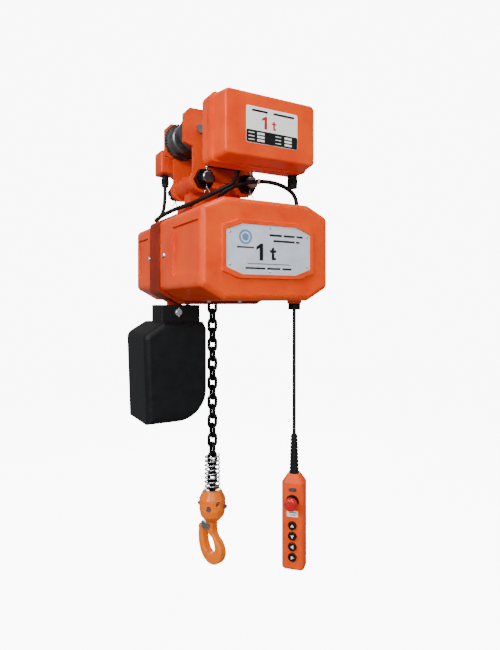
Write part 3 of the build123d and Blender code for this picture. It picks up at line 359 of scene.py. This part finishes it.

# %% [markdown]
# ## Cables
# Each cable is drawn along a given route.  A NURBS curve of order
# three runs through the route's control points, and its round bevel is the
# sheath.  Order and end points are set after the points, or the curve stays
# a row of straight runs.


# %% Cable helper
def cable(name, body, node, points_mm, radius, length, stiffness, lay):
    """A smooth cable along a route given in millimetres."""
    curve = bpy.data.curves.new(name, "CURVE")
    curve.dimensions = "3D"
    spline = curve.splines.new("NURBS")
    spline.points.add(len(points_mm) - 1)
    for control, point in zip(spline.points, points_mm):
        control.co = (*[v * MM for v in point], 1.0)
    spline.order_u = 3
    spline.use_endpoint_u = True
    spline.resolution_u = 12
    curve.bevel_depth = radius
    curve.bevel_resolution = 5
    curve.use_fill_caps = True
    curve.materials.append(black_sheath)
    piece = bpy.data.objects.new(name, curve)
    bpy.context.scene.collection.objects.link(piece)
    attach(piece, body)
    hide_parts(node)
    return piece


# %% Motor cable: terminal box, down in a loop, over the casing and forward
LOOSE_RADIUS = 0.0042
HANGING_RADIUS = 0.0035
motor_route = [
    (-66, 120, -44),
    (-66, 120, -84),
    (-76, 106, -120),
    (-98, 84, -140),
    (-114, 50, -147),
    (-109, 12, -139),
    (-93, -22, -130),
    (-74, -56, -124),
    (-58, -90, -115),
    (-38, -122, -103),
    (-12, -146, -88),
    (-12, -146, -55),
]
cable("motor_cable_sheath", "hoist", "motor_cable", motor_route, LOOSE_RADIUS, 0.414, "medium", "hanging")

# %% Control cable: out of the casing and over to its far shoulder
control_route = [
    (-34, -96, -134),
    (-34, -96, -114),
    (-16, -116, -96),
    (14, -138, -86),
    (52, -154, -84),
    (88, -164, -94),
    (112, -166, -114),
    (112, -166, -146),
]
cable("control_cable_sheath", "hoist", "control_cable", control_route, LOOSE_RADIUS, 0.229, "medium", "loose")

# %% Pendant cable: pulled straight by the pendant's weight
pendant_low, pendant_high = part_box("pendant_cable")
pendant_x = (pendant_low.x + pendant_high.x) / 2 / MM
pendant_y = (pendant_low.y + pendant_high.y) / 2 / MM
hang_top = pendant_high.z / MM
hang_bottom = pendant_low.z / MM
pendant_route = [
    (pendant_x, pendant_y, hang_top),
    (pendant_x, pendant_y, (2 * hang_top + hang_bottom) / 3),
    (pendant_x, pendant_y, (hang_top + 2 * hang_bottom) / 3),
    (pendant_x, pendant_y, hang_bottom),
]
hang_length = (hang_top - hang_bottom) * MM
on_pendant_body = ("pendant", "pendant_cable")
cable("pendant_cable_sheath", *on_pendant_body, pendant_route, HANGING_RADIUS, hang_length, "medium", "taut")
print("pendant cable hangs", round(hang_length, 3), "m")

# %% [markdown]
# ## Flat print
# Labels and their marks are thin slabs.  A grid face is cut from a bmesh
# grid, extruded by the thickness of the ink and turned to lie on its face.
# The transform is given once, as a matrix with its X across the label, its
# Y up the label and its Z out of the surface.


# %% Helpers for thin slabs
def thicken(mesh, thickness_mm):
    """Draw every face of a flat mesh up by a thickness."""
    raised = bmesh.ops.extrude_face_region(mesh, geom=mesh.faces[:])
    lifted = [v for v in raised["geom"] if isinstance(v, bmesh.types.BMVert)]
    bmesh.ops.translate(mesh, verts=lifted, vec=(0, 0, thickness_mm * MM))


def round_plate(mesh, width_mm, height_mm, radius_mm):
    """A flat rectangle with round corners, added to a mesh."""
    bmesh.ops.create_grid(mesh, x_segments=1, y_segments=1, size=0.5)
    bmesh.ops.scale(mesh, verts=mesh.verts, vec=(width_mm * MM, height_mm * MM, 1))
    corners = mesh.verts[:]
    bmesh.ops.bevel(
        mesh,
        geom=corners,
        offset=radius_mm * MM,
        segments=6,
        profile=0.5,
        affect="VERTICES",
        material=-1,
    )


def patch(name, width_mm, height_mm, radius_mm, thickness_mm, matrix, body, slot, material):
    """A round-cornered label."""
    mesh = bmesh.new()
    round_plate(mesh, width_mm, height_mm, radius_mm)
    thicken(mesh, thickness_mm)
    bmesh.ops.transform(mesh, matrix=matrix, verts=mesh.verts)
    return make_piece(name, mesh, body, material, smooth=False)


def shape(name, outline_mm, thickness_mm, matrix, body, slot, material):
    """A figure or an arrow given by the corners of its outline."""
    mesh = bmesh.new()
    mesh.faces.new([mesh.verts.new((x * MM, y * MM, 0)) for x, y in outline_mm])
    thicken(mesh, thickness_mm)
    bmesh.ops.triangulate(mesh, faces=mesh.faces[:])
    bmesh.ops.transform(mesh, matrix=matrix, verts=mesh.verts)
    return make_piece(name, mesh, body, material, smooth=False)


def bars(name, places_mm, thickness_mm, matrix, body, slot, material):
    """Several rectangles (x, y, width, height) as one piece of print."""
    mesh = bmesh.new()
    for x, y, width, height in places_mm:
        made = bmesh.ops.create_cube(mesh, size=1.0)
        size = Matrix.Diagonal((width * MM, height * MM, thickness_mm * MM, 1))
        spot = Matrix.Translation((x * MM, y * MM, thickness_mm * MM / 2))
        bmesh.ops.transform(mesh, matrix=spot @ size, verts=made["verts"])
    bmesh.ops.transform(mesh, matrix=matrix, verts=mesh.verts)
    return make_piece(name, mesh, body, material, smooth=False)


def washer(name, outer_mm, inner_mm, thickness_mm, matrix, body, slot, material):
    """A flat ring: a disc inset by its width, its middle cut out, then drawn up."""
    mesh = bmesh.new()
    bmesh.ops.create_circle(mesh, cap_ends=True, segments=48, radius=outer_mm * MM)
    if inner_mm:
        disc = mesh.faces[:]
        width = (outer_mm - inner_mm) * MM
        bmesh.ops.inset_region(mesh, faces=disc, thickness=width, use_boundary=True, use_even_offset=True)
        bmesh.ops.delete(mesh, geom=disc, context="FACES_ONLY")
    thicken(mesh, thickness_mm)
    bmesh.ops.transform(mesh, matrix=matrix, verts=mesh.verts)
    return make_piece(name, mesh, body, material)


def facing_front(x_mm, y, z):
    """Places print on an upright face that looks to the front."""
    turn = Matrix(((1, 0, 0), (0, 0, -1), (0, 1, 0))).to_4x4()
    return Matrix.Translation((x_mm * MM, y, z)) @ turn


ONE = [(-3.2, -13), (3.2, -13), (3.2, 13), (-1.2, 13), (-9, 7.6), (-9, 2.8), (-3.2, 6.2)]
TON = [(-2, -9), (5.6, -9), (5.6, -5.2), (2.4, -5.2), (2.4, 2.6), (6, 2.6), (6, 6.4)]
TON += [(2.4, 6.4), (2.4, 11), (-2, 9.6), (-2, 6.4), (-5.4, 6.4), (-5.4, 2.6), (-2, 2.6)]


def sized(outline, factor, across=0.0, up=0.0):
    """An outline made larger and moved on its label."""
    return [(x * factor + across, y * factor + up) for x, y in outline]


# %% [markdown]
# ## Label on the control box
# White above for the capacity figure, black below with blank boxes where an
# owner writes the ratings.

# %% Control box label
INK = 0.12
box_low, box_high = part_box("control_box_cover")
label_z = (box_low.z + box_high.z) / 2 + 0.0005
on_box = ("hoist", "orange_paint")
label_face = facing_front(0.5, box_low.y, label_z)
patch("control_label", 107, 64, 4, 2 * INK, label_face, *on_box, ink_white)
above = facing_front(0.5, box_low.y - 2 * INK * MM, label_z)
dark_face = above @ Matrix.Translation((0, -20.5 * MM, 0))
patch("control_label_dark", 106, 22, 3, INK, dark_face, *on_box, ink_black)
bars("control_label_rule", [(-26, 25, 32, 3.6), (24, 25, 44, 3.6)], INK, above, *on_box, ink_black)
shape("control_label_one", sized(ONE, 0.86, -14, 6), INK, above, *on_box, ink_red)
shape("control_label_unit", sized(TON, 0.8, 3, 3), INK, above, *on_box, ink_red)
top_ink = facing_front(0.5, box_low.y - 3 * INK * MM, label_z)
rows = [-14.5, -20.5, -26.5]
boxes = [(x, y, 15, 3.6) for x in (-24, 33) for y in rows]
lines = [(x, y, 12, 1.3) for x in (-43, 12) for y in rows]
bars("control_label_boxes", boxes + lines, INK, top_ink, *on_box, ink_white)
print("control box label at", round(label_z, 4))

# %% [markdown]
# ## Print on the nameplate
# A plain ring stands where a maker would put a badge, a large figure gives
# the capacity, and level rules stand for the lines of small print.

# %% Nameplate print
name_low, name_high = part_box("nameplate")
name_z = (name_low.z + name_high.z) / 2
on_plate = ("hoist", "plate_silver")
name_face = facing_front(0, name_low.y, name_z)
shape("nameplate_one", sized(ONE, 1.15, -18, -4), INK, name_face, *on_plate, ink_black)
shape("nameplate_unit", sized(TON, 1.15, 6, -7), INK, name_face, *on_plate, ink_black)
text_rules = [(12, 27, 26, 3.6), (41, 27, 24, 3.6), (64, 27, 14, 3.6), (30, 17, 46, 3.4), (60, 17, 8, 3.4)]
text_rules += [(-2, -25, 88, 1.2), (-30, -33, 40, 3.2), (8, -33, 28, 3.2), (36, -33, 20, 3.2)]
bars("nameplate_rules", text_rules, INK, name_face, *on_plate, ink_black)
badge = facing_front(-50, name_low.y, name_z + 0.021)
washer("nameplate_ring", 13, 9.5, INK, badge, *on_plate, ink_blue)
washer("nameplate_disc", 6.5, 0, INK, badge, *on_plate, ink_blue)
bars("nameplate_ring_rule", [(-50, 3, 34, 3.0)], INK, name_face, *on_plate, ink_grey)

# %% [markdown]
# ## Gasket, ties and bolts
# A black rubber gasket fills the parting groove of the control box, a
# white nylon tie holds the cable, and hexagon bolts ring the gear case.

# %% Gasket of the control box
base_low, base_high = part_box("control_box_base")
gasket_mid = (base_low.z + base_high.z) / 2
mesh = bmesh.new()
round_plate(mesh, (base_high.x - base_low.x) / MM - 5, (base_high.z - base_low.z) / MM - 5, 9)
middle_face = mesh.faces[:]
bmesh.ops.inset_region(mesh, faces=middle_face, thickness=2.5 * MM, use_boundary=True, use_even_offset=True)
bmesh.ops.delete(mesh, geom=middle_face, context="FACES_ONLY")
thicken(mesh, 1.6)
bmesh.ops.transform(mesh, matrix=facing_front(0, -0.1982, gasket_mid), verts=mesh.verts)
make_piece("control_box_gasket", mesh, "hoist", black_sheath)


# %% Hexagon bolts on the gear case
def hexagon_head(mesh, centre, across_mm, height_mm, outward):
    """One bevelled hexagon head standing on centre, pointing along outward."""
    corner = across_mm * MM / 3**0.5
    deep = height_mm * MM
    made = bmesh.ops.create_cone(mesh, cap_ends=True, segments=6, radius1=corner, radius2=corner, depth=deep)
    top = {v for v in made["verts"] if v.co.z > 0}
    crown = [e for v in top for e in v.link_edges if set(e.verts) <= top]
    turn = Vector((0, 0, 1)).rotation_difference(Vector(outward)).to_matrix().to_4x4()
    lift = Matrix.Translation((0, 0, height_mm * MM / 2))
    bmesh.ops.transform(mesh, matrix=Matrix.Translation(centre) @ turn @ lift, verts=made["verts"])
    crown = list(dict.fromkeys(crown))
    bmesh.ops.bevel(mesh, geom=crown, offset=0.6 * MM, segments=2, profile=0.5, affect="EDGES", material=-1)


gearcase_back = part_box("trolley_gearcase")[1].y
BOLT_RING = 0.0545
motor_low, motor_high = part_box("trolley_motor")
motor_mid = (motor_low + motor_high) / 2
mesh = bmesh.new()
for turn in range(6):
    angle = radians(30 + 60 * turn)
    across, up = BOLT_RING * cos(angle), BOLT_RING * sin(angle)
    spot = (motor_mid.x + across, gearcase_back - 0.0003, motor_mid.z + up)
    hexagon_head(mesh, spot, 8.0, 4.0, (0, 1, 0))
make_piece("gearcase_bolts", mesh, "hoist", bright_zinc)

# %% White tie on the control cable
lie_along = Vector((0, 0, 1)).rotation_difference(Vector((38, -16, 2))).to_matrix().to_4x4()
tie_place = Matrix.Translation((0.033, -0.146, -0.085)) @ lie_along @ Matrix.Translation((0, 0, -1.8 * MM))
washer("cable_tie", 5.6, 4.3, 3.6, tie_place, "hoist", "black_plastic", white_nylon)

# %% [markdown]
# ## Pendant trim
# The buttons carry white arrows, a dark collar stands under the stop
# button, a white label with two rules sits below it, and four screws close
# the back.  The pendant is turned about its own upright axis, so its print is
# placed by a matrix that turns with it.

# %% Pendant trim
YAW = radians(-45)
FRONT = 18.0
shell_low, shell_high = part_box("pendant_front_shell")
on_shell = ("pendant", "pendant_orange")


def on_pendant(across_mm, out_mm, z):
    """Places print on the pendant's front, out_mm off its middle plane."""
    turn = Matrix.Rotation(YAW, 4, "Z") @ Matrix(((1, 0, 0), (0, 0, -1), (0, 1, 0))).to_4x4()
    centre = Matrix.Translation((pendant_x * MM, pendant_y * MM, z))
    return centre @ turn @ Matrix.Translation((across_mm * MM, 0, out_mm * MM))


ARROW = [(-3.2, -2.2), (3.2, -2.2), (0.0, 3.4)]
BUTTON_STAND = 4.2
turns = {"up_button": 0, "down_button": 180, "left_button": 90, "right_button": -90}
for button, turn in turns.items():
    low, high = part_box(button)
    button_face = on_pendant(0, FRONT + BUTTON_STAND, (low.z + high.z) / 2)
    spot = button_face @ Matrix.Rotation(radians(turn), 4, "Z")
    shape(button + "_arrow", ARROW, 0.2, spot, button, "button_black", ink_white)

stop_low, stop_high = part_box("stop_button")
stop_z = (stop_low.z + stop_high.z) / 2
label_at = stop_z - 0.024
washer("stop_collar", 12.6, 6.9, 2.6, on_pendant(0, FRONT, stop_z), "pendant", "black_plastic", black_nylon)
patch("pendant_label", 22, 12, 1.5, 0.2, on_pendant(0, FRONT, label_at), *on_shell, ink_white)
label_rules = [(0, 2.4, 15, 1.6), (0, -2.2, 11, 1.6)]
rules_face = on_pendant(0, FRONT + 0.2, label_at)
bars("pendant_label_rules", label_rules, 0.1, rules_face, *on_shell, ink_grey)
patch("pendant_badge", 16, 7, 3.4, 0.3, on_pendant(0, FRONT, stop_z + 0.022), *on_shell, ink_grey)
mesh = bmesh.new()
behind = Matrix.Rotation(YAW, 3, "Z") @ Vector((0, 1, 0))
for across in (-14, 14):
    for z in (shell_low.z + 0.016, shell_high.z - 0.034):
        hexagon_head(mesh, on_pendant(across, 0.2 - FRONT, z).to_translation(), 5.0, 1.2, behind)
make_piece("pendant_screws", mesh, "pendant", bright_zinc)

# %% [markdown]
# ## Studio
# A pale floor, a far bright wall and soft lamps.  The wall stands well
# behind the hoist and both papers glow on their own, as lit paper rolls do.
# Their light is kept off the hoist by ray visibility, as flags do in a real
# studio: white ground would otherwise lay a veil over the orange paint.

# %% Floor and wall
def studio_sheet(name, half_size, matrix, material):
    """A very large flat sheet that isn't part of the hoist."""
    mesh = bmesh.new()
    bmesh.ops.create_grid(mesh, x_segments=1, y_segments=1, size=half_size, matrix=matrix)
    data = bpy.data.meshes.new(name)
    mesh.to_mesh(data)
    mesh.free()
    data.materials.append(material)
    made = bpy.data.objects.new(name, data)
    bpy.context.scene.collection.objects.link(made)
    made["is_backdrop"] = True
    return made


floor_paper, tree, shader, place = start_material("matt_paper_floor", Roughness=0.9, Emission_Strength=9.0)
vary_colour(tree, shader, place, ("#F4F4F4", "#F8F8F8"), 900.0)
shader.inputs["Emission Color"].default_value = (1.0, 1.0, 1.0, 1.0)
wall_paper, tree, shader, place = start_material("lit_paper_wall", Roughness=0.9, Emission_Strength=9.0)
vary_colour(tree, shader, place, ("#F6F6F6", "#FAFAFA"), 900.0)
shader.inputs["Emission Color"].default_value = (1.0, 1.0, 1.0, 1.0)
below = cad_low.z - 0.35
floor = studio_sheet("studio_floor", 12.0, Matrix.Translation((0, 0, below)), floor_paper)
across_view = LOOK.to_track_quat("Z", "Y").to_matrix().to_4x4()
wall = studio_sheet("studio_wall", 9.0, Matrix.Translation(LOOK * 6.5) @ across_view, wall_paper)
for sheet in (floor, wall):
    sheet.visible_diffuse = False
    sheet.visible_glossy = False

# %% Lights
air = bpy.data.worlds.new("studio_air")
air.use_nodes = True
air.node_tree.nodes["Background"].inputs["Color"].default_value = (1.0, 1.0, 1.0, 1.0)
air.node_tree.nodes["Background"].inputs["Strength"].default_value = 0.36
bpy.context.scene.world = air


def soft_light(name, place, aim, size, watts):
    """A square area light that looks at a point."""
    lamp = bpy.data.lights.new(name, "AREA")
    lamp.shape = "SQUARE"
    lamp.size = size
    lamp.energy = watts
    light = bpy.data.objects.new(name, lamp)
    light.location = place
    light.rotation_euler = (Vector(aim) - Vector(place)).to_track_quat("-Z", "Y").to_euler()
    bpy.context.scene.collection.objects.link(light)


middle = (cad_low + cad_high) / 2
soft_light("key_light", (-2.0, -1.0, 0.8), middle, 0.7, 52)
soft_light("top_light", (-0.2, -0.9, 2.2), middle, 0.7, 44)
soft_light("fill_light", (-1.0, -2.3, 0.3), middle, 1.2, 34)
soft_light("rear_light", (1.5, 2.2, 0.7), middle, 1.2, 34)

# %% Measure the two boxes and finish
new_low, new_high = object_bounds()
boxes = {"cad": [list(cad_low), list(cad_high)], "visual": [list(new_low), list(new_high)]}
